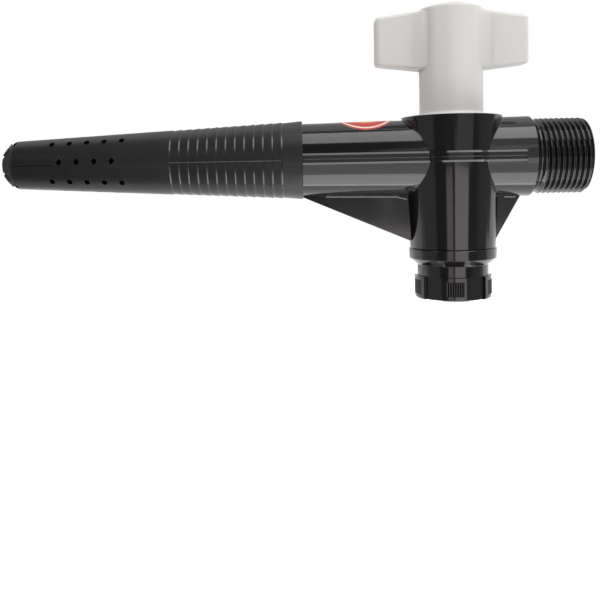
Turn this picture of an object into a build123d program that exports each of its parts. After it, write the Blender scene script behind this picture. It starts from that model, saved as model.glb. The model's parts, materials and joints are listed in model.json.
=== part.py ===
"""Cask tap of the taper-plug kind, millimetres.

The flow runs along +X, from the nose of the strainer shank to the threaded outlet. +Z is up along the
axis of the plug. The origin is on the flow axis, in the shoulder at the big end of the shank.
"""
from build123d import *
import os
from math import asin, atan2, cos, degrees, radians, sin, tan

# Layout along the flow
PLUG_OFFSET = 66.3
BARREL_REACH = 35.4
THREAD_LENGTH = 22.5

# Barrel and its outlet
BARREL_SHANK_DIA = 32.0
BARREL_OUTLET_DIA = 35.4
BARREL_CHAMFER = 2.0
THREAD_DIA = 33.25
THREAD_CHAMFER = 1.0
THREAD_RELIEF = 0.6
THREAD_RELIEF_DEPTH = 1.0
FLOW_BORE = 18.0
PORT_DIA = 16.0
OUTLET_BORE = 24.0
OUTLET_BORE_DEPTH = 24.0

# Upright housing, a cone that widens upwards, with its rim just above the barrel.
# Its taper is the change of diameter per length, and the plug seat has the same.
RIM_STEP = 0.3
HOUSING_DROP = 39.6
HOUSING_TOP_DIA = 44.0
HOUSING_TAPER = 0.118
HOUSING_WALL = 4.4
CROSSING_FILLET = 0.3

# Belt at the parting plane, and the webs under the barrel
BELT_HEIGHT = 4.8
BELT_PROUD = 0.9
BELT_END_GAP = 6.6
BELT_CORNER = 1.5
BELT_BEVEL = 0.8
BELT_BEVEL_SLOPE = 34.0
WEB_THICK = 4.0
WEB_STEP = 0.6
WEB_FOOT_GAP = 2.8
WEB_EDGE = 0.5
OUTLET_WEB_GAP = 3.6

# Strainer shank
SHANK_LENGTH = 132.2
SHANK_SHOULDER_DIA = 34.6
SHANK_NOSE_DIA = 21.1
SHANK_WALL = 2.9
SHOULDER_EDGE = 0.3
NOSE_LENGTH = 5.7
NOSE_TIP_DIA = 9.6
NOSE_ROUND = 2.4
NOSE_WALL = 7.7
NOTCH_COUNT = 3
NOTCH_TURN = 30.0
NOTCH_WIDTH = 4.6
NOTCH_DEPTH = 0.9
BARB_COUNT = 13
BARB_PITCH = 4.01
BARB_DEPTH = 0.35
BARB_COLLAR = 9.1
HOLE_DIA = 2.9
HOLE_PITCH = 7.65
HOLE_ROWS = 8
HOLES_IN_LONG_ROW = 5
HOLE_START = 23.2
HOLE_ROW_TURN = 4.0
SPIGOT_LENGTH = 32.0
SPIGOT_CLEARANCE = 0.04

# Key: plug, stub, hub and T-handle
PLUG_CLEARANCE = 0.06
PLUG_PROUD = 0.8
PLUG_LIFT = 0.5
PLUG_EDGE = 0.4
STUB_DIA = 22.0
STUB_WALL = 4.0
STUB_FLAT_DEPTH = 1.0
STUB_END_GAP = 0.4
CORE_TOP_GAP = 4.0
HUB_STEP = 3.75
HUB_HEIGHT = 46.2
HUB_FOOT_RADIUS = 1.6
DOME_RISE = 2.5
DOME_EDGE = 1.0
ARM_REACH = 33.6
ARM_ROOT_THICK = 11.6
ARM_TIP_THICK = 9.6
ARM_TIP_DROP = 3.5
ARM_TIP_HEIGHT = 20.6
ARM_TOP_FALL = 4.6
ARM_BOTTOM_RISE = 3.7
ARM_CORNER = 2.4
ARM_EDGE = 1.5
ARM_BLEND = 4.5
ARM_ROOT_INSET = 0.4

# Keyed washer and retaining cap
WASHER_THICK = 1.6
WASHER_CLEARANCE = 0.1
CAP_GAP = 0.4
CAP_LIP_OVERHANG = 0.6
CAP_LIP_WALL = 1.7
CAP_LIP_HEIGHT = 4.3
CAP_LIP_DRAFT = 0.2
CAP_LIP_CHAMFER = 3.0
CAP_LIP_EDGE = 0.3
CAP_WALL = 4.42
CAP_HEIGHT = 22.0
CAP_FLOOR = 3.6
CAP_BASE_CHAMFER = 0.8
CAP_THREAD_CLEARANCE = 0.08
PAD_COUNT = 5
PAD_SPREAD = 40.0
PAD_TURN = -7.0
PAD_PROUD = 1.3
PAD_TOP_DROP = 12.0
PAD_BASE_GAP = 2.0
PAD_BAND = 1.7
PAD_FLAT_DEPTH = 0.9
GROOVE_COUNT = 7
GROOVE_PITCH = 3.5
GROOVE_WIDTH = 0.8

# Places worked out from the driving dimensions
barrel_end = PLUG_OFFSET + BARREL_REACH
barrel_shoulder = barrel_end - BARREL_CHAMFER
outlet_face = barrel_end + THREAD_LENGTH
barrel_slope = (BARREL_OUTLET_DIA - BARREL_SHANK_DIA) / 2 / barrel_shoulder
cone_end = SHANK_LENGTH - NOSE_LENGTH
shank_slope = (SHANK_SHOULDER_DIA - SHANK_NOSE_DIA) / 2 / cone_end
housing_far_side = PLUG_OFFSET + HOUSING_TOP_DIA / 2
housing_rise = BARREL_SHANK_DIA / 2 + barrel_slope * housing_far_side + RIM_STEP
housing_slope = HOUSING_TAPER / 2
housing_foot_radius = HOUSING_TOP_DIA / 2 - housing_slope * (housing_rise + HOUSING_DROP)
plug_top = housing_rise + PLUG_PROUD
plug_bottom = -HOUSING_DROP + PLUG_LIFT
hub_top = plug_top + HUB_HEIGHT
cap_top = -HOUSING_DROP - CAP_GAP
cap_bottom = cap_top - CAP_HEIGHT
cap_bore_bottom = cap_bottom + CAP_FLOOR
cap_bore_radius = STUB_DIA / 2 + CAP_THREAD_CLEARANCE
cap_neck_radius = cap_bore_radius + CAP_WALL
cap_lip_radius = housing_foot_radius + CAP_LIP_OVERHANG
pad_top = cap_top - PAD_TOP_DROP
washer_seat = -HOUSING_DROP - WASHER_THICK
washer_recess_radius = cap_lip_radius - CAP_LIP_WALL
stub_flat = STUB_DIA / 2 - STUB_FLAT_DEPTH
plug_place = Pos(PLUG_OFFSET, 0, 0)

# How solids are anchored when they are made
UPWARD = (Align.CENTER, Align.CENTER, Align.MIN)
DOWNWARD = (Align.CENTER, Align.CENTER, Align.MAX)
OUTWARD_DOWN = (Align.MIN, Align.CENTER, Align.MAX)


def barrel_radius(x):
    return BARREL_SHANK_DIA / 2 + barrel_slope * x


def shank_radius(x):
    """Outside of the shank's cone at x, which is negative along the shank."""
    return SHANK_SHOULDER_DIA / 2 + shank_slope * x


def socket_radius(x):
    """Inside of the shank, parallel to its cone, one wall under the barbs."""
    return shank_radius(x) - BARB_DEPTH - SHANK_WALL


def housing_radius(z):
    return HOUSING_TOP_DIA / 2 + housing_slope * (z - housing_rise)


def seat_radius(z):
    """Tapered seat in the housing, parallel to its outside."""
    return housing_radius(z) - HOUSING_WALL


def outline(points):
    """A closed flat outline, drawn as (along, radius) or (radius, height)."""
    return make_face(Polyline(*points, close=True))


def corner_at(face, point):
    """The outline's corner nearest to a point."""
    return face.vertices().sort_by_distance((*point, 0))[0]


def rounded(face, point, radius):
    return fillet(corner_at(face, point), radius)


def bevelled(face, point, length):
    return chamfer(corner_at(face, point), length)


def turned_on_x(face):
    return revolve(face, Axis.X)


def turned_on_z(face):
    return revolve(Plane.XZ * face, Axis.Z)


def plate_in_xz(points, thick):
    return extrude(Plane.XZ * outline(points), thick / 2, both=True)


def bar_on_x(dia, start, end):
    return Pos(start, 0, 0) * Rot(0, 90, 0) * Cylinder(dia / 2, end - start, align=UPWARD)


def barrel_outside():
    """Spigot, tapered barrel, relief and the outlet at the thread's outer diameter."""
    thread_start = barrel_end + THREAD_RELIEF
    relief_radius = THREAD_DIA / 2 - THREAD_RELIEF_DEPTH
    return turned_on_x(outline([
        (-SPIGOT_LENGTH, 0),
        (-SPIGOT_LENGTH, socket_radius(-SPIGOT_LENGTH) - SPIGOT_CLEARANCE),
        (0, socket_radius(0) - SPIGOT_CLEARANCE),
        (0, barrel_radius(0)),
        (barrel_shoulder, barrel_radius(barrel_shoulder)),
        (barrel_end, barrel_radius(barrel_shoulder) - BARREL_CHAMFER),
        (barrel_end, relief_radius),
        (thread_start, relief_radius),
        (thread_start + THREAD_RELIEF_DEPTH, THREAD_DIA / 2),
        (outlet_face - THREAD_CHAMFER, THREAD_DIA / 2),
        (outlet_face, THREAD_DIA / 2 - THREAD_CHAMFER),
        (outlet_face, 0),
    ]))


def housing_cone(extra, bottom, top):
    return plug_place * turned_on_z(outline([
        (0, bottom),
        (housing_radius(bottom) + extra, bottom),
        (housing_radius(top) + extra, top),
        (0, top),
    ]))


def crossed_barrels():
    """Barrel and housing, with the line where they cross rounded inside."""
    crossed = barrel_outside() + housing_cone(0, -HOUSING_DROP, housing_rise)
    crossing = crossed.edges().filter_by(GeomType.BSPLINE)
    return fillet(crossing, CROSSING_FILLET)


def belt_plan():
    """The belt from above: both sides of the barrel, swelling round the housing."""
    end = barrel_end - BELT_END_GAP
    sides = outline([
        (0, barrel_radius(0) + BELT_PROUD),
        (end, barrel_radius(end) + BELT_PROUD),
        (end, -barrel_radius(end) - BELT_PROUD),
        (0, -barrel_radius(0) - BELT_PROUD),
    ])
    plan = sides + Pos(PLUG_OFFSET, 0) * Circle(housing_radius(0) + BELT_PROUD)
    return fillet(plan.vertices().filter_by(lambda v: 0 < v.X < end), BELT_CORNER)


def belt():
    """Raised band where the mould halves meet, with an upright face and sloping edges."""
    band = extrude(belt_plan(), BELT_HEIGHT / 2, both=True)
    inset = BELT_BEVEL * tan(radians(BELT_BEVEL_SLOPE))
    for level in (-1, 0):
        face = band.faces().sort_by(Axis.Z)[level]
        rim = face.edges().filter_by(lambda edge: edge.center().X > inset)
        band = chamfer(rim, inset, BELT_BEVEL, reference=face)
    return band


def web(start, edge_height):
    """Flat web in the middle plane, from under the barrel down to the housing's foot."""
    foot = -HOUSING_DROP + WEB_FOOT_GAP
    side = 1 if start > PLUG_OFFSET else -1
    housing_side = PLUG_OFFSET + side * housing_radius(foot)
    plate = plate_in_xz([
        (start, 0),
        (start, edge_height),
        (housing_side, foot),
        (PLUG_OFFSET, foot),
        (PLUG_OFFSET, 0),
    ], WEB_THICK)
    middle = ((start + housing_side) / 2, 0, (edge_height + foot) / 2)
    sloping = plate.faces().sort_by_distance(middle)[0]
    return fillet(sloping.edges().filter_by(Axis.Y, reverse=True), WEB_EDGE)


def tap_body():
    web_start = barrel_shoulder - OUTLET_WEB_GAP
    body = crossed_barrels() + belt()
    body += web(0, -barrel_radius(0) - WEB_STEP)
    body += web(web_start, -barrel_radius(web_start))
    body -= plug_place * turned_on_z(outline([
        (0, -HOUSING_DROP),
        (seat_radius(-HOUSING_DROP), -HOUSING_DROP),
        (seat_radius(housing_rise), housing_rise),
        (0, housing_rise),
    ]))
    outlet_step = PLUG_OFFSET + housing_radius(0)
    body -= bar_on_x(FLOW_BORE, -SPIGOT_LENGTH, PLUG_OFFSET - housing_radius(0))
    body -= bar_on_x(PORT_DIA, 0, outlet_step)
    bore_start = outlet_face - OUTLET_BORE_DEPTH
    body -= turned_on_x(outline([
        (outlet_step, 0),
        (outlet_step, PORT_DIA / 2),
        (bore_start, OUTLET_BORE / 2),
        (outlet_face, OUTLET_BORE / 2),
        (outlet_face, 0),
    ]))
    return body


def shank_outline():
    """Half section of the shank's outside, nose first, with the barbs' steps facing the outlet."""
    points = [(-SHANK_LENGTH, 0), (-SHANK_LENGTH, NOSE_TIP_DIA / 2), (-cone_end, SHANK_NOSE_DIA / 2)]
    for index in reversed(range(BARB_COUNT)):
        x = -BARB_COLLAR - index * BARB_PITCH
        points += [(x, shank_radius(x)), (x, shank_radius(x) - BARB_DEPTH)]
    face = outline(points + [(0, shank_radius(0)), (0, 0)])
    face = rounded(face, (-cone_end, SHANK_NOSE_DIA / 2), NOSE_ROUND)
    face = rounded(face, (-SHANK_LENGTH, NOSE_TIP_DIA / 2), NOSE_ROUND)
    return bevelled(face, (0, shank_radius(0)), SHOULDER_EDGE)


def nose_notches():
    """Flat cuts in the nose, sunk parallel to its cone."""
    nose_rise = (SHANK_NOSE_DIA - NOSE_TIP_DIA) / 2
    tilt = degrees(atan2(nose_rise, NOSE_LENGTH))
    middle = Pos(-SHANK_LENGTH + NOSE_LENGTH / 2, 0, NOSE_TIP_DIA / 2 + nose_rise / 2)
    notch = middle * Rot(0, -tilt, 0) * Pos(0, 0, -NOTCH_DEPTH) * Box(
        SHANK_NOSE_DIA, NOTCH_WIDTH, SHANK_NOSE_DIA, align=UPWARD
    )
    return [Rot(NOTCH_TURN + 360 / NOTCH_COUNT * index, 0, 0) * notch for index in range(NOTCH_COUNT)]


def strainer_holes():
    """Rows of holes round the shank, long and short rows in turn, half a pitch apart."""
    hole = Cylinder(HOLE_DIA / 2, SHANK_SHOULDER_DIA, align=UPWARD)
    holes = []
    for row in range(HOLE_ROWS):
        short = (row + 1) % 2
        turn = Rot(90 - HOLE_ROW_TURN + 360 / HOLE_ROWS * row, 0, 0)
        for index in range(HOLES_IN_LONG_ROW - short):
            x = -SHANK_LENGTH + HOLE_START + HOLE_PITCH * (index + short / 2)
            holes.append(turn * Pos(x, 0, 0) * hole)
    return holes


def strainer_shank():
    bore_end = -SHANK_LENGTH + NOSE_WALL
    shank = turned_on_x(shank_outline())
    shank -= turned_on_x(outline([
        (bore_end, 0),
        (bore_end, socket_radius(bore_end)),
        (0, socket_radius(0)),
        (0, 0),
    ]))
    return shank - nose_notches() - strainer_holes()


def plug_and_hub():
    """Stub, tapered plug, hub and domed top, turned as one."""
    hub_radius = seat_radius(plug_top) - HUB_STEP
    plug_radius = seat_radius(plug_top) - PLUG_CLEARANCE
    stub_bottom = cap_bore_bottom + STUB_END_GAP
    dome_radius = (hub_radius**2 + DOME_RISE**2) / 2 / DOME_RISE
    dome_centre = hub_top + DOME_RISE - dome_radius
    half_turn = asin(hub_radius / dome_radius) / 2
    dome_middle = (dome_radius * sin(half_turn), dome_centre + dome_radius * cos(half_turn))
    side = Polyline(
        (0, hub_top + DOME_RISE),
        (0, stub_bottom),
        (STUB_DIA / 2, stub_bottom),
        (STUB_DIA / 2, plug_bottom),
        (seat_radius(plug_bottom) - PLUG_CLEARANCE, plug_bottom),
        (plug_radius, plug_top),
        (hub_radius, plug_top),
        (hub_radius, hub_top),
    )
    dome = ThreePointArc((hub_radius, hub_top), dome_middle, (0, hub_top + DOME_RISE))
    face = make_face(side + dome)
    face = bevelled(face, (plug_radius, plug_top), PLUG_EDGE)
    face = rounded(face, (hub_radius, plug_top), HUB_FOOT_RADIUS)
    face = rounded(face, (hub_radius, hub_top), DOME_EDGE)
    return turned_on_z(face)


def arm_plan():
    """The arm from above, blended into half of the hub's circle."""
    root = seat_radius(plug_top) - HUB_STEP - ARM_ROOT_INSET
    bar = outline([
        (0, ARM_ROOT_THICK / 2),
        (ARM_REACH, ARM_TIP_THICK / 2),
        (ARM_REACH, -ARM_TIP_THICK / 2),
        (0, -ARM_ROOT_THICK / 2),
    ])
    bar = fillet(bar.vertices().sort_by(Axis.X)[-2:], ARM_CORNER)
    half_hub = Circle(root) & Pos(root / 2, 0) * Rectangle(root, 2 * root)
    plan = bar + half_hub
    inner = plan.vertices().filter_by(lambda v: 0 < v.X < root and abs(v.Y) < ARM_ROOT_THICK / 2)
    return fillet(inner, ARM_BLEND)


def arm():
    """One arm of the T-handle, from the plug axis out along +X."""
    top_tip = hub_top - ARM_TIP_DROP
    bottom_tip = top_tip - ARM_TIP_HEIGHT
    side = plate_in_xz([
        (0, bottom_tip - ARM_BOTTOM_RISE),
        (ARM_REACH, bottom_tip),
        (ARM_REACH, top_tip),
        (0, top_tip + ARM_TOP_FALL),
    ], ARM_REACH)
    shape = extrude(arm_plan(), hub_top + ARM_TOP_FALL) & side
    levels = shape.faces().sort_by(Axis.Z)
    loops = levels[0].edges() + levels[-1].edges()
    return fillet(loops.filter_by(lambda edge: edge.center().X > ARM_ROOT_INSET), ARM_EDGE)


def handle_key():
    key = plug_and_hub()
    side = arm()
    key = key + side + mirror(side, Plane.YZ)
    key -= bar_on_x(PORT_DIA, -HOUSING_TOP_DIA, HOUSING_TOP_DIA)
    core_top = -PORT_DIA / 2 - CORE_TOP_GAP
    core_radius = STUB_DIA / 2 - STUB_WALL
    key -= Pos(0, 0, cap_bottom) * Cylinder(core_radius, core_top - cap_bottom, align=UPWARD)
    key -= Pos(stub_flat, 0, plug_bottom) * Box(STUB_DIA, STUB_DIA, CAP_HEIGHT * 2, align=OUTWARD_DOWN)
    return plug_place * key


def keyed_washer():
    outside = Circle(washer_recess_radius - WASHER_CLEARANCE)
    hole = Circle(STUB_DIA / 2 + WASHER_CLEARANCE) - Pos(stub_flat + WASHER_CLEARANCE, 0) * Rectangle(
        STUB_DIA, STUB_DIA * 2, align=(Align.MIN, Align.CENTER)
    )
    return Pos(PLUG_OFFSET, 0, washer_seat) * extrude(outside - hole, WASHER_THICK)


def cap_outside():
    lip_bottom = cap_top - CAP_LIP_HEIGHT
    face = outline([
        (0, cap_bottom),
        (cap_neck_radius - CAP_BASE_CHAMFER, cap_bottom),
        (cap_neck_radius, cap_bottom + CAP_BASE_CHAMFER),
        (cap_neck_radius, lip_bottom - CAP_LIP_CHAMFER),
        (cap_lip_radius - CAP_LIP_DRAFT, lip_bottom),
        (cap_lip_radius, cap_top),
        (0, cap_top),
    ])
    face = rounded(face, (cap_lip_radius, cap_top), CAP_LIP_EDGE)
    return turned_on_z(face)


def grip_pad():
    """Raised pad along +X with its top at Z = 0, a plain band and upright serrations below it."""
    height = pad_top - cap_bottom - PAD_BASE_GAP
    radius = cap_neck_radius + PAD_PROUD
    reach = 2 * radius * cos(radians(PAD_SPREAD / 2))
    spread = 2 * radius * sin(radians(PAD_SPREAD / 2))
    wedge = outline([(0, 0), (reach, spread), (reach, -spread)])
    pad = extrude(Circle(radius) & wedge, -height)
    groove = Pos(radius, 0, -PAD_BAND) * Rot(0, 0, 45) * Box(
        GROOVE_WIDTH, GROOVE_WIDTH, height, align=DOWNWARD
    )
    first = -GROOVE_PITCH * (GROOVE_COUNT - 1) / 2
    return pad - [Rot(0, 0, first + GROOVE_PITCH * index) * groove for index in range(GROOVE_COUNT)]


def retaining_cap():
    """Flanged hand nut: five pads with flats between them, closed below."""
    cap = cap_outside()
    pad = grip_pad()
    first_pad = -90 + PAD_TURN
    flat = Pos(cap_neck_radius - PAD_FLAT_DEPTH, 0, 0) * Box(
        PAD_PROUD * 2, cap_neck_radius * 2, CAP_HEIGHT, align=OUTWARD_DOWN
    )
    for index in range(PAD_COUNT):
        cap -= Pos(0, 0, pad_top) * Rot(0, 0, first_pad + 360 / PAD_COUNT * (index + 0.5)) * flat
    for index in range(PAD_COUNT):
        cap += Pos(0, 0, pad_top) * Rot(0, 0, first_pad + 360 / PAD_COUNT * index) * pad
    cap -= Pos(0, 0, washer_seat) * Cylinder(washer_recess_radius, WASHER_THICK, align=UPWARD)
    cap -= Pos(0, 0, cap_bore_bottom) * Cylinder(cap_bore_radius, CAP_HEIGHT, align=UPWARD)
    return plug_place * cap


NODES = {
    "tap_body": tap_body,
    "strainer_shank": strainer_shank,
    "handle_key": handle_key,
    "keyed_washer": keyed_washer,
    "retaining_cap": retaining_cap,
}

os.makedirs("parts", exist_ok=True)
for name, make in NODES.items():
    export_step(make(), f"parts/{name}.step")
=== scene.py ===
"""Looks of a plastic cask tap: finishes, outlet thread, moulding marks, a plain label and a studio.

Lengths are metres in the part's frame: X along the flow, Z up along the plug's axis.
"""
import json
from math import atan2, ceil, cos, pi, radians, sin, tan, tau

import bmesh
import bpy
from mathutils import Matrix, Vector
from mathutils.bvhtree import BVHTree


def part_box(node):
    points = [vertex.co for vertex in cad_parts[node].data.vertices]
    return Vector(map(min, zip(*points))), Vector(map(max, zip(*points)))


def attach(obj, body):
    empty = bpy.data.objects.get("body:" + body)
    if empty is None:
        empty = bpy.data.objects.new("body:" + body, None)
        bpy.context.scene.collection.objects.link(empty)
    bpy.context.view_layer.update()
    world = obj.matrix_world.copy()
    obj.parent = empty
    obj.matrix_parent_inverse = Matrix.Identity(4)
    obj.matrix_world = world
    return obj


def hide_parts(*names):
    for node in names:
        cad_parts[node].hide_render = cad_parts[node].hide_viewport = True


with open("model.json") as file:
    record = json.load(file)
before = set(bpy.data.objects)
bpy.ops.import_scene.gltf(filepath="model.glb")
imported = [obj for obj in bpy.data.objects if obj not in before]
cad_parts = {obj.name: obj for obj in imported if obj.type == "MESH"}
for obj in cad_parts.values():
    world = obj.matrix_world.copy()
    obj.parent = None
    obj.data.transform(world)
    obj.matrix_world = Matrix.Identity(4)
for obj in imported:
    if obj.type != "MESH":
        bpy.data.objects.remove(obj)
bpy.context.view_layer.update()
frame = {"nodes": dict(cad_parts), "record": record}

# A millimetre, and a distance clear of the part where rays start
MM = 0.001
OUTSIDE = 0.1

# Places read from the frame
nodes = frame["nodes"]
record = frame["record"]
mounts = {mount["name"]: mount for mount in record["mounts"]}
plug_x = record["behaviour"]["joints"][0]["pos_m"][0]
shank_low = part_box("strainer_shank")[0]
cap_low, cap_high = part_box("retaining_cap")
thread_middle = mounts["outlet_thread"]["pos_m"][0]
thread_length = mounts["outlet_thread"]["dims"]["length_mm"] * MM
thread_radius = mounts["outlet_thread"]["dims"]["r_mm"] * MM
outlet_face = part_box("tap_body")[1].x

# Outlet thread: one inch parallel pipe thread, right-handed
THREAD_PITCH = 2.309 * MM
THREAD_FLANK = radians(27.5)
THREAD_ROUNDING = 0.1373 * THREAD_PITCH
THREAD_SKIM = 0.03 * MM
THREAD_LEAD_IN = 1.9 * MM
THREAD_RUN_IN = 0.5
THREAD_OVERRUN = 1.5
THREAD_STEPS_ROUND = 96
THREAD_STEPS_ROUNDING = 7
CUTTER_RADIUS = thread_radius + 3 * MM
SHARP_ANGLE = radians(28)
SAME_POINT = 1e-7
SAME_NORMAL = 0.85

# Label: a plain round sticker over the top of the barrel
LABEL_X = 28 * MM
LABEL_RADIUS = 12 * MM
LABEL_THICK = 0.12 * MM
LABEL_UNDER = 4 * LABEL_THICK
LABEL_RINGS = 24
LABEL_SPOKES = 96
LABEL_RING_INNER = 0.84
LABEL_RING_OUTER = 0.92
LABEL_CENTRE = 0.46

# Shank: backs of the barbs, rims of the strainer holes, parting lines and the nose's teeth
BARB_COUNT = 13
BARB_PITCH = 4.01 * MM
BARB_COLLAR = 9.1 * MM
BARB_DEPTH = 0.35 * MM
BARB_BACK = 0.70 * MM
BARB_SKIN = 0.015 * MM
BARB_LIP = 0.05 * MM
BARB_LIP_STEP = 0.01 * MM
BARB_STEPS = 128
BARB_PROBE = radians(22.5)
BARB_PLACES = [-BARB_COLLAR - BARB_PITCH * index for index in range(BARB_COUNT)]
HOLE_RADIUS = 1.45 * MM
HOLE_ROWS = 8
HOLES_IN_LONG_ROW = 5
HOLE_PITCH = 7.65 * MM
HOLE_START = 23.2 * MM
HOLE_ROW_TURN = 4.0
HOLE_STEPS = 28
HOLE_BEAD = 0.16 * MM
HOLE_BEAD_PROUD = 0.05 * MM
HOLE_BEAD_SIDES = 8
PARTING_TURN = radians(-1.5)
NOSE_DULL_FROM = 125.5 * MM
NOSE_DULL_FULL = 127.5 * MM
NOSE_LENGTH = 5.7 * MM
NOSE_TIP_RADIUS = 4.8 * MM
NOSE_RISE = 5.75 * MM
NOTCH_COUNT = 3
NOTCH_TURN = radians(60)
NOTCH_DEPTH = 0.9 * MM
TOOTH_SINK = 0.3 * MM
TOOTH_RISE = 0.5 * MM
TOOTH_LENGTH = 4.6 * MM
TOOTH_WIDTH = 4.5 * MM
FLASH_WIDTH = 0.34 * MM
FLASH_HEIGHT = 0.11 * MM
SEAM_START = 5.0 * MM
SEAM_LENGTH = 19.0 * MM
SEAM_STEPS = 8
SEAM_WIDTH = 0.34 * MM
SEAM_HEIGHT = 0.03 * MM

# Body: lines left by the mould
BELT_LINE_INSET = 0.8 * MM
BELT_LINE_STEPS = 120
BELT_LINE_Z = -0.1 * MM
BELT_LINE_WIDTH = 0.34 * MM
BELT_LINE_HEIGHT = 0.07 * MM
BELT_TO_FACE = 29.1 * MM
WELD_TURN = radians(-17.7)
WELD_LOW = 8.5 * MM
WELD_HIGH = 17.0 * MM
WELD_STEPS = 6
WELD_WIDTH = 0.26 * MM
WELD_HEIGHT = 0.05 * MM
WEB_BEADS = ((10 * MM, 46 * MM), (89 * MM, 94 * MM))
WEB_BEAD_DROP = 0.1 * MM
WEB_BEAD_STEPS = 8
WEB_BEAD_WIDTH = 1.1 * MM
WEB_BEAD_HEIGHT = 0.38 * MM

# Sections of the ridges, in shares of their width and height, with a root below the surface
ROUND_RIDGE = ((-0.5, -1.5), (-0.5, 0.0), (-0.25, 0.8), (0.0, 1.0), (0.25, 0.8), (0.5, 0.0), (0.5, -1.5))
KEEN_RIDGE = ((-0.5, -1.5), (-0.5, 0.0), (0.0, 1.0), (0.5, 0.0), (0.5, -1.5))

# Key: soft hollows between its arms and its hub
BLEND_RADIUS = 9.0 * MM
BLEND_EDGE = 1.5 * MM
BLEND_SINK = 0.02 * MM
BLEND_HUB_ROOT = 0.6
BLEND_ARM_ROOT = 0.4
BLEND_STEPS = 14
BLEND_EDGE_STEPS = 5
HUB_LEVEL = 30 * MM
ARM_LEVEL = 52 * MM
ARM_NEAR = 19 * MM
ARM_FAR = 28 * MM

# Cap: round ribs and feet of its grip pads
PAD_COUNT = 5
PAD_FIRST = radians(-97.0)
PAD_HALF_SPREAD = radians(20.0)
PAD_RADIUS = 16.8 * MM
PAD_TOP_DROP = 12.0 * MM
PAD_BAND = 1.7 * MM
PAD_BASE_GAP = 2.0 * MM
PAD_FOOT_STEPS = 12
PAD_FOOT_BEVEL = 0.6 * MM
PAD_FOOT_ROOT = 3.0 * MM
RIB_COUNT = 8
RIB_PITCH = radians(3.5)
RIB_RADIUS = 0.42 * MM
RIB_SINK = 0.22 * MM
RIB_STEPS = 8

# Camera, matched to the photo
CAMERA_PLACE = Vector((-0.00084, -0.34469, -0.00822))
CAMERA_DOWN = 0.0429
CAMERA_ROLL = -0.0186
CAMERA_TURN = 0.0021
CAMERA_LENS = 46.39
CAMERA_SENSOR = 36.0
CAMERA_SHIFT_Y = -0.1467

# Studio
FLOOR_Z = -0.45
FLOOR_HALF = 3.0
FLOOR_FRONT = -0.05
FLOOR_TONE = 0.8
FLOOR_DIM = 0.6
FLOOR_DIM_X = (-0.35, 0.05)
FLOOR_DIM_Y = (0.34, 0.52)
AIM = Vector((0.02, 0.0, 0.0))
HANDLE_AIM = Vector((plug_x, 0.0, 0.05))

# Soft panels: name, azimuth, elevation, distance, width, height, radiance, shift along X
SOFT_PANELS = (
    ("top_softbox", 0.0, 70.0, 0.60, 0.80, 0.42, 3.5, 0.33),
    ("bottom_softbox", 0.0, -68.3, 0.28, 0.50, 0.21, 4.1, 0.20),
    ("front_strip", 16.6, -12.8, 0.70, 0.41, 0.165, 2.5, 0.0),
    ("front_strip_left", -13.0, -13.0, 0.70, 0.19, 0.155, 1.45, 0.0),
    ("front_bounce", 0.0, -34.2, 0.55, 0.60, 0.28, 1.55, 0.24),
    ("front_card", 24.0, 12.0, 0.80, 0.52, 0.50, 0.56, 0.0),
    ("front_card_left", -4.0, 11.8, 0.80, 0.29, 0.33, 0.6, 0.0),
    ("web_card", 4.0, -4.2, 0.70, 0.10, 0.05, 0.4, 0.0),
)
HANDLE_PANEL = ("handle_fill", -56.0, 30.0, 0.44, 0.16, 0.16, 0.37, 0.0)
HANDLE_SPREAD = radians(34)
WARM_PANELS = {"front_strip": (1.0, 0.89, 0.88), "front_strip_left": (1.0, 0.92, 0.92)}


class Value:
    """A shader socket with the arithmetic of a number."""

    def __init__(self, tree, socket):
        self.tree = tree
        self.socket = socket

    def node(self, kind, settings=(), inputs=(), output=0):
        """Add a node with its settings and inputs and give back one of its outputs."""
        made = self.tree.nodes.new(kind)
        for name, setting in dict(settings).items():
            setattr(made, name, setting)
        for name, source in dict(inputs).items():
            if isinstance(source, Value):
                self.tree.links.new(source.socket, made.inputs[name])
            else:
                made.inputs[name].default_value = source
        return Value(self.tree, made.outputs[output]) if made.outputs else None

    def maths(self, operation, *values):
        """One step of arithmetic on sockets and numbers."""
        return self.node("ShaderNodeMath", {"operation": operation}, enumerate(values))

    def __add__(self, other):
        return self.maths("ADD", self, other)

    __radd__ = __add__

    def __sub__(self, other):
        return self.maths("SUBTRACT", self, other)

    def __rsub__(self, other):
        return self.maths("SUBTRACT", other, self)

    def __mul__(self, other):
        return self.maths("MULTIPLY", self, other)

    __rmul__ = __mul__

    def step(self, low, high):
        """Zero below low, one above high and a soft rise between them."""
        limits = {"Value": self, "From Min": low, "From Max": high}
        return self.node("ShaderNodeMapRange", {"interpolation_type": "SMOOTHSTEP"}, limits)

    def blend(self, first, second):
        """A colour that goes from first to second as this value goes from zero to one."""
        colours = {"Factor": self, 6: first, 7: second}
        return self.node("ShaderNodeMix", {"data_type": "RGBA"}, colours, 2)


def open_material(name):
    """A new material with its tree emptied, and a start for its maths."""
    material = bpy.data.materials.new(name)
    material.use_nodes = True
    material.node_tree.nodes.clear()
    return material, Value(material.node_tree, None)


def close_material(start, shader):
    """Send a shader to the material's output."""
    start.node("ShaderNodeOutputMaterial", {}, {"Surface": shader})


def grey(level):
    """A neutral colour."""
    return (level, level, level, 1.0)


def place_of(start):
    """Object coordinates, which are the part's frame in metres."""
    return start.node("ShaderNodeTexCoord", output="Object")


def parts_of(vector):
    """The three parts of a vector, each as a value."""
    return [vector.node("ShaderNodeSeparateXYZ", {}, {0: vector}, axis) for axis in range(3)]


def stretched(place, scale):
    """Coordinates drawn out, for marks that run one way."""
    return place.node("ShaderNodeMapping", {}, {"Vector": place, "Scale": scale})


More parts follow.
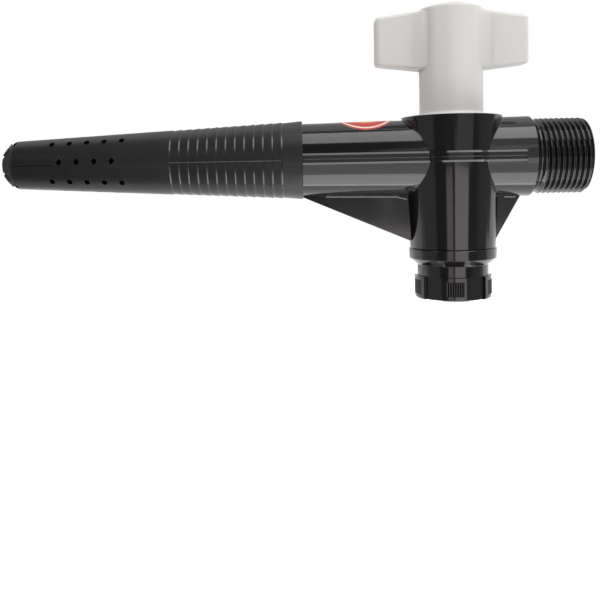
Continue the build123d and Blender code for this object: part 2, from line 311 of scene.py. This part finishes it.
def noise(place, scale, detail=3.0, roughness=0.5):
    """A cloudy value between zero and one."""
    settings = {"Vector": place, "Scale": scale, "Detail": detail, "Roughness": roughness}
    return place.node("ShaderNodeTexNoise", {}, settings)


def bump(height, distance, strength):
    """A normal that leans with a height."""
    settings = {"Height": height, "Distance": distance, "Strength": strength}
    return height.node("ShaderNodeBump", {}, settings)


def moulded_black(name, base, roughness):
    """Glossy black moulding with a faint orange peel, handling marks and dust."""
    material, start = open_material(name)
    place = place_of(start)
    cloud = noise(place, 45.0, 4.0)
    peel = noise(place, 420.0, 2.0)
    scratch = noise(stretched(place, (18.0, 260.0, 900.0)), 1.0, 4.0, 0.7)
    marks = scratch.step(0.66, 0.74) * cloud.step(0.48, 0.66)
    dust = noise(place, 2600.0, 1.0).step(0.76, 0.80) * cloud.step(0.40, 0.70)
    colour = (marks * 0.25 + dust * 0.30).blend(base, grey(0.16))
    dull = roughness + cloud * 0.05 + marks * 0.12 + dust * 0.3
    normal = bump(peel * 0.7 + cloud * 4.0, 0.00002, 0.35)
    shader = start.node("ShaderNodeBsdfPrincipled", {}, {
        "Base Color": colour, "Roughness": dull, "Normal": normal, "IOR": 1.5})
    close_material(start, shader)
    return material


def dull_mark(name, base):
    """Flat colour with hardly any gloss, for painted light: painted shade on the nose line, painted
    highlights on the flash and on the nose's teeth.
    """
    material, start = open_material(name)
    shader = start.node("ShaderNodeBsdfPrincipled", {}, {
        "Base Color": base, "Roughness": 0.9, "Specular IOR Level": 0.1})
    close_material(start, shader)
    return material


def matt_charcoal(name, base):
    """Matt charcoal moulding with a fine grain, pale scuffs and drag marks along the draw."""
    material, start = open_material(name)
    place = place_of(start)
    cloud = noise(place, 60.0, 4.0)
    grain = noise(place, 2400.0, 2.0)
    drag = noise(stretched(place, (30.0, 500.0, 900.0)), 1.0, 4.0, 0.7)
    scuffs = drag.step(0.62, 0.75) * cloud.step(0.45, 0.68)
    nose = (0.0 - parts_of(place)[0]).step(NOSE_DULL_FROM, NOSE_DULL_FULL)
    colour = (scuffs * 0.20 + cloud * 0.02).blend(base, grey(0.10))
    dull = 0.34 + cloud * 0.08 - scuffs * 0.06 + nose * 0.40
    normal = bump(grain + drag * 1.5, 0.00003, 0.5)
    shader = start.node("ShaderNodeBsdfPrincipled", {}, {
        "Base Color": colour, "Roughness": dull, "Normal": normal, "IOR": 1.5})
    close_material(start, shader)
    return material


def satin_white(name, base, shade):
    """Satin off-white moulding, a little uneven in tone, with a soft translucence."""
    material, start = open_material(name)
    place = place_of(start)
    cloud = noise(place, 38.0, 4.0)
    peel = noise(place, 300.0, 2.0)
    speck = noise(place, 1500.0, 1.0).step(0.775, 0.80)
    colour = (cloud.step(0.35, 0.75) * 0.5 + speck * 0.4).blend(base, shade)
    dull = 0.34 + cloud * 0.10
    normal = bump(peel + cloud * 3.0, 0.00003, 0.4)
    shader = start.node("ShaderNodeBsdfPrincipled", {}, {
        "Base Color": colour, "Roughness": dull, "Normal": normal, "IOR": 1.49,
        "Subsurface Weight": 0.3, "Subsurface Scale": 0.004, "Subsurface Radius": (1.0, 0.9, 0.8)})
    close_material(start, shader)
    return material


def printed(name, base, roughness):
    """Glossy printed paper."""
    material, start = open_material(name)
    cloud = noise(place_of(start), 140.0, 3.0)
    colour = (cloud * 0.25).blend(base, tuple(part * 0.6 for part in base[:3]) + (1.0,))
    shader = start.node("ShaderNodeBsdfPrincipled", {}, {
        "Base Color": colour, "Roughness": roughness, "IOR": 1.5})
    close_material(start, shader)
    return material


def looked_at(start):
    """One for rays that the camera, a gloss or a clear surface sends out, and zero for light itself."""
    camera_ray = start.node("ShaderNodeLightPath", output="Is Camera Ray")
    glossy_ray = start.node("ShaderNodeLightPath", output="Is Glossy Ray")
    clear_ray = start.node("ShaderNodeLightPath", output="Is Transmission Ray")
    return camera_ray.maths("MAXIMUM", camera_ray, glossy_ray.maths("MAXIMUM", glossy_ray, clear_ray))


def give(obj, material):
    """Put one finish on the whole of an object."""
    obj.data.materials.clear()
    obj.data.materials.append(material)


def add_object(name, data):
    """An object for a mesh, a lamp or a camera, in the scene."""
    obj = bpy.data.objects.new(name, data)
    bpy.context.scene.collection.objects.link(obj)
    return obj


def mesh_of(name, vertices, faces):
    """A mesh from points and faces."""
    mesh = bpy.data.meshes.new(name)
    mesh.from_pydata(vertices, [], faces)
    mesh.validate()
    return mesh


def around_x(x, radius, angle):
    """A point about the flow axis: angle 0 faces the camera's side, a quarter turn is up."""
    return Vector((x, -radius * cos(angle), radius * sin(angle)))


def thread_profile():
    """One pitch of the thread, crest to crest, as (along, depth): flanks with rounded crest and root."""
    turn = pi / 2 - THREAD_FLANK
    arc = [turn * k / THREAD_STEPS_ROUNDING for k in range(THREAD_STEPS_ROUNDING + 1)]
    crest = [(THREAD_ROUNDING * sin(a), THREAD_ROUNDING * (1 - cos(a))) for a in arc]
    reach = THREAD_PITCH / 2 - 2 * crest[-1][0]
    depth = 2 * crest[-1][1] + reach / tan(THREAD_FLANK)
    root = [(THREAD_PITCH / 2 - along, depth - down) for along, down in reversed(crest)]
    half = crest + root
    return half + [(THREAD_PITCH - along, down) for along, down in reversed(half[1:-1])]


def thread_cutter():
    """A thick ribbon wound along the helix, whose inside is the thread's surface."""
    profile = thread_profile()
    strands = len(profile)
    spokes = THREAD_STEPS_ROUND
    start_x = thread_middle - thread_length / 2 - THREAD_LEAD_IN
    stations = ceil((outlet_face - start_x) / THREAD_PITCH + THREAD_OVERRUN) * spokes
    vertices = []
    for m in range(stations + 1):
        turns = m / spokes
        run_in = min(1.0, turns / THREAD_RUN_IN)
        for along, down in profile:
            x = start_x + THREAD_PITCH * turns + along
            vertices.append(around_x(x, thread_radius - THREAD_SKIM - down * run_in, -tau * turns))
    faces = []
    for m in range(stations):
        for j in range(strands - 1):
            corner = m * strands + j
            faces.append((corner, corner + 1, corner + 1 + strands, corner + strands))
        if m + spokes < stations:
            corner = m * strands + strands - 1
            following = (m + spokes) * strands
            faces.append((corner, following, following + strands, corner + strands))
    mesh = mesh_of("thread_cutter", vertices, faces)
    shape = bmesh.new()
    shape.from_mesh(mesh)
    grown = bmesh.ops.extrude_face_region(shape, geom=shape.faces[:], use_keep_orig=True)
    for item in grown["geom"]:
        if isinstance(item, bmesh.types.BMVert):
            outward = Vector((0.0, item.co.y, item.co.z)).normalized()
            item.co = Vector((item.co.x, 0.0, 0.0)) + outward * CUTTER_RADIUS
    bmesh.ops.recalc_face_normals(shape, faces=shape.faces)
    shape.to_mesh(mesh)
    shape.free()
    return add_object("thread_cutter", mesh)


def spot_of(point):
    """A point rounded to a micrometre, to look it up by."""
    return tuple(round(part * 1e6) for part in point)


def corner_normals(mesh):
    """Normals of the CAD mesh at each of its points."""
    table = {}
    for loop, normal in zip(mesh.loops, mesh.corner_normals):
        table.setdefault(spot_of(mesh.vertices[loop.vertex_index].co), []).append(normal.vector.copy())
    return table


def threaded_body():
    """The CAD body with the outlet's thread cut into it."""
    source = nodes["tap_body"]
    normals = corner_normals(source.data)
    mesh = bpy.data.meshes.new("threaded_body")
    shape = bmesh.new()
    shape.from_mesh(source.data)
    bmesh.ops.remove_doubles(shape, verts=shape.verts, dist=SAME_POINT)
    shape.to_mesh(mesh)
    shape.free()
    blank = add_object("body_blank", mesh)
    cutter = thread_cutter()
    cut = blank.modifiers.new("thread", "BOOLEAN")
    cut.operation = "DIFFERENCE"
    cut.solver = "EXACT"
    cut.object = cutter
    graph = bpy.context.evaluated_depsgraph_get()
    done = bpy.data.meshes.new_from_object(blank.evaluated_get(graph))
    done.name = "threaded_body"
    for spent in (blank, cutter):
        bpy.data.objects.remove(spent)
    for polygon in done.polygons:
        polygon.use_smooth = True
    done.set_sharp_from_angle(angle=SHARP_ANGLE)
    kept = [normal.vector.copy() for normal in done.corner_normals]
    for polygon in done.polygons:
        for index in polygon.loop_indices:
            point = done.vertices[done.loops[index].vertex_index].co
            choices = normals.get(spot_of(point), [])
            best = max(choices, key=polygon.normal.dot, default=None)
            if best is not None and best.dot(polygon.normal) > SAME_NORMAL:
                kept[index] = best
    done.normals_split_custom_set(kept)
    body = add_object("threaded_body", done)
    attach(body, "tap")
    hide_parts("tap_body")
    return body


def skin_of(node):
    """The CAD mesh of a node, ready for rays."""
    mesh = nodes[node].data
    return BVHTree.FromPolygons([v.co for v in mesh.vertices], [tuple(p.vertices) for p in mesh.polygons])


def label_disc():
    """A thin round sticker that hugs the barrel."""
    ends = [surface_radius(body_skin, LABEL_X + side * LABEL_RADIUS, pi / 2) for side in (-1, 1)]
    slope = (ends[1] - ends[0]) / (2 * LABEL_RADIUS)
    middle = (ends[0] + ends[1]) / 2

    def at(share, spoke, lift):
        angle = tau * spoke / LABEL_SPOKES
        along = LABEL_RADIUS * share * cos(angle)
        radius = middle + slope * along
        turned = LABEL_RADIUS * share * sin(angle) / radius
        return around_x(LABEL_X + along, radius + lift, pi / 2 + turned)

    spokes = LABEL_SPOKES
    vertices = [at(0.0, 0, LABEL_THICK)]
    for ring in range(1, LABEL_RINGS + 1):
        vertices += [at(ring / LABEL_RINGS, k, LABEL_THICK) for k in range(spokes)]
    skirt = len(vertices)
    vertices += [at(1.0, k, -LABEL_THICK) for k in range(spokes)]
    under = len(vertices)
    vertices.append(at(0.0, 0, -LABEL_UNDER))
    faces = [(0, 1 + k, 1 + (k + 1) % spokes) for k in range(spokes)]
    tones = [2] * spokes
    for ring in range(1, LABEL_RINGS):
        share = (ring + 0.5) / LABEL_RINGS
        tone = 2 if share < LABEL_CENTRE else 1 if LABEL_RING_INNER < share < LABEL_RING_OUTER else 0
        inner = 1 + (ring - 1) * spokes
        outer = inner + spokes
        for k in range(spokes):
            after = (k + 1) % spokes
            faces.append((inner + k, outer + k, outer + after, inner + after))
            tones.append(tone)
    rim = skirt - spokes
    for k in range(spokes):
        after = (k + 1) % spokes
        faces.append((rim + k, skirt + k, skirt + after, rim + after))
        faces.append((under, skirt + after, skirt + k))
        tones += [1, 1]
    mesh = mesh_of("label_disc", vertices, faces)
    label = add_object("label_disc", mesh)
    for material in (label_red, label_cream, label_gold):
        mesh.materials.append(material)
    for polygon, tone in zip(mesh.polygons, tones):
        polygon.material_index = tone
        polygon.use_smooth = True
    mesh.set_sharp_from_angle(angle=SHARP_ANGLE)
    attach(label, "tap")
    return label


def shown(name, vertices, faces, material, body, sharp=radians(60)):
    """A smooth piece of the part that rides on a body."""
    mesh = mesh_of(name, vertices, faces)
    for polygon in mesh.polygons:
        polygon.use_smooth = True
    mesh.set_sharp_from_angle(angle=sharp)
    obj = add_object(name, mesh)
    give(obj, material)
    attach(obj, body)
    return obj


def skin_rings(faces, first, rings, sides, hoop=False, turned=False):
    """Skin rings of points, the first at index first: as a closed hoop, or as a bar with two ends."""
    made = []
    if not hoop:
        last = first + (rings - 1) * sides
        made.append(tuple(range(first + sides - 1, first - 1, -1)))
        made.append(tuple(range(last, last + sides)))
    for ring in range(rings if hoop else rings - 1):
        row = first + ring * sides
        following = first + (ring + 1) % rings * sides
        for k in range(sides):
            beside = (k + 1) % sides
            made.append((row + k, row + beside, following + beside, following + k))
    faces += [face[:1] + face[:0:-1] for face in made] if turned else made


def ridge_along(vertices, faces, path, width, height, outline=ROUND_RIDGE):
    """Add a low ridge along a path of (point, outward) pairs, sunk in the surface under it."""
    first = len(vertices)
    for index, (point, outward) in enumerate(path):
        before = path[max(index - 1, 0)][0]
        after = path[min(index + 1, len(path) - 1)][0]
        across = (after - before).normalized().cross(outward).normalized()
        vertices += [point + across * (u * width) + outward * (v * height) for u, v in outline]
    skin_rings(faces, first, len(path), len(outline))


def rim_bead(vertices, faces, centres, outwards, upwards):
    """Add a closed round bead along a ring of centres, with two directions across it at each centre."""
    first = len(vertices)
    for centre, outward, upward in zip(centres, outwards, upwards):
        for k in range(HOLE_BEAD_SIDES):
            angle = tau * k / HOLE_BEAD_SIDES
            vertices.append(centre + (outward * cos(angle) + upward * sin(angle)) * HOLE_BEAD)
    skin_rings(faces, first, len(centres), HOLE_BEAD_SIDES, hoop=True, turned=True)


def surface_radius(skin, x, angle):
    """Radius of a skin about the flow axis, found by a ray from outside."""
    start = around_x(x, OUTSIDE, angle)
    return (skin.ray_cast(start, Vector((x, 0.0, 0.0)) - start)[0] - Vector((x, 0.0, 0.0))).length


def barb_backs():
    """The barbs' sloping backs, which catch the light."""
    vertices = []
    faces = []
    for x in BARB_PLACES:
        lip = surface_radius(shank_skin, x - BARB_LIP_STEP, BARB_PROBE)
        section = (
            (x - BARB_LIP, lip - BARB_DEPTH),
            (x - BARB_LIP, lip + BARB_SKIN),
            (x + BARB_LIP, lip + BARB_SKIN),
            (x + BARB_BACK, lip - BARB_DEPTH + BARB_SKIN),
            (x + BARB_BACK, lip - 2 * BARB_DEPTH),
        )
        first = len(vertices)
        for k in range(BARB_STEPS):
            vertices += [around_x(along, radius, tau * k / BARB_STEPS) for along, radius in section]
        skin_rings(faces, first, BARB_STEPS, len(section), hoop=True)
    return shown("barb_backs", vertices, faces, barb_sheen, "tap", sharp=radians(12))


def hole_rims():
    """Small raised lips round the strainer holes."""
    vertices = []
    faces = []
    probe = radians(HOLE_ROW_TURN + 180 / HOLE_ROWS)
    near = shank_low.x + HOLE_START
    far = near + HOLE_PITCH * (HOLES_IN_LONG_ROW - 1)
    near_radius = surface_radius(shank_skin, near, probe)
    slope = (surface_radius(shank_skin, far, probe) - near_radius) / (far - near)
    for row in range(HOLE_ROWS):
        short = (row + 1) % 2
        angle = radians(HOLE_ROW_TURN - 360 / HOLE_ROWS * row)
        outward = around_x(0.0, 1.0, angle)
        beside = around_x(0.0, 1.0, angle + pi / 2)
        for index in range(HOLES_IN_LONG_ROW - short):
            x = near + HOLE_PITCH * (index + short / 2)
            turns = [tau * k / HOLE_STEPS for k in range(HOLE_STEPS)]
            sides = [Vector((cos(t), 0.0, 0.0)) + beside * sin(t) for t in turns]
            centres = []
            for t in turns:
                along = HOLE_RADIUS * cos(t)
                across = HOLE_RADIUS * sin(t)
                surface = near_radius + slope * (x + along - near)
                depth = (surface**2 - across**2) ** 0.5 - HOLE_BEAD + HOLE_BEAD_PROUD
                centres.append(Vector((x + along, 0.0, 0.0)) + outward * depth + beside * across)
            rim_bead(vertices, faces, centres, sides, [outward] * HOLE_STEPS)
    return shown("hole_rims", vertices, faces, barb_sheen, "tap")


def shank_lines():
    """Parting lines along both sides of the shank: proud over the barbs in a pale painted highlight, and a
    near-black line at the nose that is painted shade standing in for a groove.
    """
    vertices = []
    faces = []
    for side in (0.0, pi):
        angle = side + PARTING_TURN * cos(side)
        outward = around_x(0.0, 1.0, angle)
        path = []
        for x in BARB_PLACES:
            path.append((around_x(x, surface_radius(shank_skin, x - BARB_LIP_STEP, angle), angle), outward))
        ridge_along(vertices, faces, path, FLASH_WIDTH, FLASH_HEIGHT, KEEN_RIDGE)
    # Pale grey with hardly any gloss: painted highlight along the flash
    shown("shank_flash", vertices, faces, flash_painted_highlight, "tap", sharp=radians(30))
    vertices = []
    faces = []
    for side in (0.0, pi):
        angle = side + 2 * PARTING_TURN * cos(side)
        outward = around_x(0.0, 1.0, angle)
        places = [shank_low.x + SEAM_START + SEAM_LENGTH * k / SEAM_STEPS for k in range(SEAM_STEPS + 1)]
        path = [(around_x(x, surface_radius(shank_skin, x, angle), angle), outward) for x in places]
        ridge_along(vertices, faces, path, SEAM_WIDTH, SEAM_HEIGHT)
    # Near-black with hardly any gloss: painted shade where the nose has a groove
    shown("shank_seam", vertices, faces, nose_line_painted_shade, "tap")


def nose_teeth():
    """Low teeth round the nose, each standing in one of its flat cuts, in a pale dull colour that is a
    painted highlight.
    """
    vertices = []
    faces = []
    slope = Vector((NOSE_LENGTH, NOSE_RISE)).normalized()
    middle = Vector((shank_low.x + NOSE_LENGTH / 2, NOSE_TIP_RADIUS + NOSE_RISE / 2))
    for notch in range(NOTCH_COUNT):
        angle = NOTCH_TURN + tau * notch / NOTCH_COUNT
        outward = around_x(0.0, 1.0, angle)
        beside = around_x(0.0, 1.0, angle + pi / 2)
        along = Vector((slope.x, 0.0, 0.0)) + outward * slope.y
        out = Vector((-slope.y, 0.0, 0.0)) + outward * slope.x
        centre = Vector((middle.x, 0.0, 0.0)) + outward * middle.y - out * NOTCH_DEPTH
        first = len(vertices)
        for depth in (-TOOTH_SINK, NOTCH_DEPTH + TOOTH_RISE):
            for run, across in ((-1, -1), (1, -1), (1, 1), (-1, 1)):
                shift = along * (run * TOOTH_LENGTH / 2) + beside * (across * TOOTH_WIDTH / 2)
                vertices.append(centre + shift + out * depth)
        skin_rings(faces, first, 2, 4)
    return shown("nose_teeth", vertices, faces, tooth_painted_highlight, "tap", sharp=radians(20))


def belt_lines():
    """The parting line along the belt, on both sides."""
    vertices = []
    faces = []
    first = BELT_LINE_INSET
    last = outlet_face - BELT_TO_FACE - BELT_LINE_INSET
    for side in (-1.0, 1.0):
        path = []
        for k in range(BELT_LINE_STEPS + 1):
            x = first + (last - first) * k / BELT_LINE_STEPS
            start = Vector((x, side * OUTSIDE, BELT_LINE_Z))
            point, normal, _, _ = body_skin.ray_cast(start, Vector((0.0, -side, 0.0)))
            path.append((point, Vector((normal.x, normal.y, 0.0)).normalized()))
        ridge_along(vertices, faces, path, BELT_LINE_WIDTH, BELT_LINE_HEIGHT)
    return shown("belt_flash", vertices, faces, body_black, "tap")


def weld_line():
    """A short upright flow line on the front of the housing."""
    vertices = []
    faces = []
    path = []
    for k in range(WELD_STEPS + 1):
        z = WELD_LOW + (WELD_HIGH - WELD_LOW) * k / WELD_STEPS
        outward = Vector((sin(WELD_TURN), -cos(WELD_TURN), 0.0))
        start = Vector((plug_x, 0.0, z)) + outward * OUTSIDE
        path.append((body_skin.ray_cast(start, -outward)[0], outward))
    ridge_along(vertices, faces, path, WELD_WIDTH, WELD_HEIGHT)
    return shown("housing_flow_line", vertices, faces, body_black, "tap")


def about_plug(radius, angle, z):
    """A point about the plug's axis; angle 0 is along the flow."""
    return Vector((plug_x + radius * cos(angle), radius * sin(angle), z))


def key_hit(x, y, z, way):
    """Where a ray, from a place beside the plug's axis, meets the key."""
    return key_skin.ray_cast(Vector((plug_x + x, y, z)), Vector(way))[0]


def arm_blends():
    """Hollows that run each face of the key's arms softly into the hub."""
    hub = -key_hit(0.0, -OUTSIDE, HUB_LEVEL, (0, 1, 0)).y
    rows = []
    for reach in (ARM_NEAR, ARM_FAR):
        face = -key_hit(reach, -OUTSIDE, ARM_LEVEL, (0, 1, 0)).y
        top = key_hit(reach, 0.0, OUTSIDE, (0, 0, -1)).z
        bottom = key_hit(reach, 0.0, HUB_LEVEL, (0, 0, 1)).z
        rows.append((face, top, bottom))
    grades = [(far - near) / (ARM_FAR - ARM_NEAR) for near, far in zip(*rows)]
    face_root, top_root, bottom_root = [near - grade * ARM_NEAR for near, grade in zip(rows[0], grades)]
    lean = -grades[0]
    slant = (1 + lean**2) ** 0.5
    offset = face_root + BLEND_RADIUS * slant
    spread = hub + BLEND_RADIUS
    root = (offset * lean) ** 2 - slant**2 * (offset**2 - spread**2)
    centre_x = (offset * lean + root**0.5) / slant**2
    centre = Vector((centre_x, offset - lean * centre_x))
    first_turn = atan2(-1.0, -lean)
    last_turn = atan2(-centre.y, -centre.x)
    levels = []
    for k in range(BLEND_EDGE_STEPS + 1):
        turn = pi / 2 * k / BLEND_EDGE_STEPS
        levels.append((BLEND_EDGE * (1 - cos(turn)), BLEND_EDGE * (1 - sin(turn)) + BLEND_SINK))
    rings = [(inset, rise, 0.0) for inset, rise in reversed(levels)]
    rings += [(inset, 0.0, drop) for inset, drop in levels]
    vertices = []
    faces = []
    for along, across in ((1, 1), (1, -1), (-1, 1), (-1, -1)):
        first = len(vertices)
        for inset, rise, drop in rings:
            plan = []
            for k in range(BLEND_STEPS + 1):
                turn = first_turn + (last_turn - first_turn) * k / BLEND_STEPS
                plan.append(centre + Vector((cos(turn), sin(turn))) * (BLEND_RADIUS + inset))
            plan.append(plan[-1] * BLEND_HUB_ROOT)
            plan.append(Vector((plan[0].x, plan[0].y * BLEND_ARM_ROOT)))
            for place in plan:
                if rise > 0.0:
                    z = bottom_root + grades[2] * place.x + rise
                else:
                    z = top_root + grades[1] * place.x - drop
                vertices.append((plug_x + along * place.x, across * place.y, z))
        skin_rings(faces, first, len(rings), BLEND_STEPS + 3, turned=along * across < 0)
    return shown("arm_blends", vertices, faces, key_white, "key", sharp=radians(40))


def grip_ribs():
    """Round ribs on the cap's grip pads."""
    vertices = []
    faces = []
    top = cap_high.z - PAD_TOP_DROP - PAD_BAND
    bottom = cap_low.z + PAD_BASE_GAP
    for pad in range(PAD_COUNT):
        for rib in range(RIB_COUNT):
            turn = PAD_FIRST + tau * pad / PAD_COUNT + RIB_PITCH * (rib - (RIB_COUNT - 1) / 2)
            outward = Vector((cos(turn), sin(turn), 0.0))
            beside = Vector((-sin(turn), cos(turn), 0.0))
            first = len(vertices)
            for z in (bottom, top):
                middle = about_plug(PAD_RADIUS - RIB_SINK, turn, z)
                for k in range(RIB_STEPS + 1):
                    angle = pi * k / RIB_STEPS
                    vertices.append(middle + (outward * sin(angle) + beside * cos(angle)) * RIB_RADIUS)
            skin_rings(faces, first, 2, RIB_STEPS + 1, turned=True)
    return shown("grip_ribs", vertices, faces, cap_black, "key")


def pad_feet():
    """The grip pads' lower ends, down to the cap's base."""
    vertices = []
    faces = []
    section = (
        (PAD_RADIUS - PAD_FOOT_ROOT, cap_low.z + PAD_BASE_GAP),
        (PAD_RADIUS, cap_low.z + PAD_BASE_GAP),
        (PAD_RADIUS, cap_low.z + PAD_FOOT_BEVEL),
        (PAD_RADIUS - PAD_FOOT_BEVEL, cap_low.z),
        (PAD_RADIUS - PAD_FOOT_ROOT, cap_low.z),
    )
    for pad in range(PAD_COUNT):
        middle = PAD_FIRST + tau * pad / PAD_COUNT
        first = len(vertices)
        for k in range(PAD_FOOT_STEPS + 1):
            angle = middle + PAD_HALF_SPREAD * (2 * k / PAD_FOOT_STEPS - 1)
            vertices += [about_plug(radius, angle, z) for radius, z in section]
        skin_rings(faces, first, PAD_FOOT_STEPS + 1, len(section))
    return shown("pad_feet", vertices, faces, cap_black, "key", sharp=radians(20))


def web_beads():
    """Fine beads where the webs leave the barrel."""
    vertices = []
    faces = []
    for side in (-1.0, 1.0):
        for begin, end in WEB_BEADS:
            path = []
            for k in range(WEB_BEAD_STEPS + 1):
                x = begin + (end - begin) * k / WEB_BEAD_STEPS
                z = -surface_radius(body_skin, x, pi / 2) - WEB_BEAD_DROP
                start = Vector((x, side * OUTSIDE, z))
                point = body_skin.ray_cast(start, Vector((0.0, -side, 0.0)))[0]
                path.append((point, Vector((0.0, side, 0.0))))
            ridge_along(vertices, faces, path, WEB_BEAD_WIDTH, WEB_BEAD_HEIGHT, KEEN_RIDGE)
    return shown("web_beads", vertices, faces, body_black, "tap", sharp=radians(30))


def radiant(name, azimuth, elevation, distance, width, height, radiance, shift):
    """A soft panel that faces the part, moved along X; azimuth 0 is the camera's side, plus is right."""
    turn = radians(azimuth)
    rise = radians(elevation)
    away = Vector((sin(turn) * cos(rise), -cos(turn) * cos(rise), sin(rise)))
    lamp = bpy.data.lights.new(name, "AREA")
    lamp.shape = "RECTANGLE"
    lamp.size = width
    lamp.size_y = height
    lamp.energy = radiance * pi * width * height
    panel = add_object(name, lamp)
    panel.location = AIM + away * distance + Vector((shift, 0.0, 0.0))
    panel.rotation_euler = away.to_track_quat("Z", "Y").to_euler()
    panel.visible_camera = False
    return panel


# Finishes
body_black = moulded_black("body_black", (0.0058, 0.0056, 0.0060, 1.0), 0.07)
cap_black = moulded_black("cap_black", (0.0058, 0.0056, 0.0060, 1.0), 0.09)
shank_charcoal = matt_charcoal("shank_charcoal", (0.0085, 0.0085, 0.0090, 1.0))
barb_sheen = moulded_black("barb_sheen", (0.010, 0.010, 0.0105, 1.0), 0.16)
# Near-black, dull: painted shade of a groove along the nose line
nose_line_painted_shade = dull_mark("nose_line_painted_shade", grey(0.004))
# Pale grey, dull: painted highlight on the flash over the barbs
flash_painted_highlight = dull_mark("flash_painted_highlight", grey(0.09))
# Pale grey, dull: painted highlight on the nose's teeth
tooth_painted_highlight = dull_mark("tooth_painted_highlight", grey(0.08))
key_white = satin_white("key_white", (0.585, 0.574, 0.558, 1.0), (0.55, 0.54, 0.52, 1.0))
# The washer is made black, not its own natural colour, so the gap round it reads dark: painted shade
washer_black = moulded_black("washer_black", (0.006, 0.006, 0.006, 1.0), 0.4)
label_red = printed("label_red", (0.52, 0.012, 0.016, 1.0), 0.28)
label_cream = printed("label_cream", (0.78, 0.72, 0.58, 1.0), 0.28)
label_gold = printed("label_gold", (0.62, 0.36, 0.05, 1.0), 0.28)

body_skin = skin_of("tap_body")
shank_skin = skin_of("strainer_shank")
key_skin = skin_of("handle_key")
give(nodes["strainer_shank"], shank_charcoal)
give(nodes["handle_key"], key_white)
give(nodes["keyed_washer"], washer_black)
give(nodes["retaining_cap"], cap_black)
give(threaded_body(), body_black)
label_disc()
barb_backs()
hole_rims()
shank_lines()
nose_teeth()
belt_lines()
weld_line()
web_beads()
arm_blends()
grip_ribs()
pad_feet()

# Camera
camera_data = bpy.data.cameras.new("camera")
camera_data.sensor_fit = "HORIZONTAL"
camera_data.sensor_width = CAMERA_SENSOR
camera_data.lens = CAMERA_LENS
camera_data.shift_y = CAMERA_SHIFT_Y
camera_data.clip_start = 0.01
camera = add_object("camera", camera_data)
camera.matrix_world = (
    Matrix.Translation(CAMERA_PLACE)
    @ Matrix.Rotation(CAMERA_TURN, 4, "Z")
    @ Matrix.Rotation(pi / 2 - CAMERA_DOWN, 4, "X")
    @ Matrix.Rotation(CAMERA_ROLL, 4, "Z")
)
bpy.context.scene.camera = camera

# Lights, mostly from the right of the shoulder
for panel in SOFT_PANELS:
    radiant(*panel)
for name, warmth in WARM_PANELS.items():
    bpy.data.lights[name].color = warmth
handle_fill = radiant(*HANDLE_PANEL)
handle_fill.data.spread = HANDLE_SPREAD
handle_fill.rotation_euler = (handle_fill.location - HANDLE_AIM).to_track_quat("Z", "Y").to_euler()

# Floor: plain and white to the camera; what the gloss of the part sees of it ends below the part
floor_mesh = mesh_of("floor", [
    (-FLOOR_HALF, -FLOOR_HALF, FLOOR_Z), (FLOOR_HALF, -FLOOR_HALF, FLOOR_Z),
    (FLOOR_HALF, FLOOR_HALF, FLOOR_Z), (-FLOOR_HALF, FLOOR_HALF, FLOOR_Z)], [(0, 1, 2, 3)])
floor = add_object("floor", floor_mesh)
floor_pale, start = open_material("floor_pale")
floor_x, floor_y, _ = parts_of(place_of(start))
seen = start.node("ShaderNodeLightPath", output="Is Camera Ray")
gleam = FLOOR_TONE - (1.0 - floor_x.step(*FLOOR_DIM_X)) * (1.0 - floor_y.step(*FLOOR_DIM_Y)) * FLOOR_DIM
gleam = gleam + seen * (FLOOR_TONE - gleam)
gleam = start.node("ShaderNodeCombineColor", {}, {0: gleam, 1: gleam, 2: gleam})
plain = start.node("ShaderNodeBsdfDiffuse", {}, {"Color": grey(FLOOR_TONE)})
glow = start.node("ShaderNodeEmission", {}, {"Color": gleam, "Strength": 1.0})
lit = start.node("ShaderNodeAddShader", {}, {0: plain, 1: glow})
pale = start.node("ShaderNodeMixShader", {}, {0: looked_at(start), 1: plain, 2: lit})
open_front = start.node("ShaderNodeBsdfTransparent")
ahead = floor_y.maths("LESS_THAN", floor_y, FLOOR_FRONT) * (1.0 - seen)
close_material(start, start.node("ShaderNodeMixShader", {}, {0: ahead, 1: pale, 2: open_front}))
give(floor, floor_pale)

# World: white behind the part, dim round the camera's side
world = bpy.data.worlds.new("studio")
world.use_nodes = True
world.node_tree.nodes.clear()
sky = Value(world.node_tree, None)
way_x, way_y, way_z = parts_of(sky.node("ShaderNodeTexCoord", output="Generated"))
overhead = way_z.step(0.10, 0.60)
rear = (way_y + overhead * 0.07).step(0.14, 0.28)
leftward = (0.0 - way_x).step(0.74, 0.83)
behind = (1.35 - way_y.step(0.25, 0.95) * 0.75) * (1.0 - overhead * 0.35) * (1.0 - leftward * 0.40)
aside = way_x.step(0.70, 0.92) * 0.20 + leftward * 0.32
above = way_z.step(0.30, 0.45) * way_x.step(0.08, 0.22) * 0.75
below = (0.0 - way_z).step(0.45, 0.90) * 0.08
level = rear * behind + (1.0 - rear) * (aside + above + below) + 0.12
seen = sky.node("ShaderNodeLightPath", output="Is Camera Ray")
level = level + seen * (1.0 - level)
tone = sky.node("ShaderNodeCombineColor", {}, {0: level, 1: level, 2: level})
backdrop = sky.node("ShaderNodeBackground", {}, {"Color": tone})
sky.node("ShaderNodeOutputWorld", {}, {"Surface": backdrop})
bpy.context.scene.world = world
bpy.context.scene.view_settings.view_transform = "Standard"
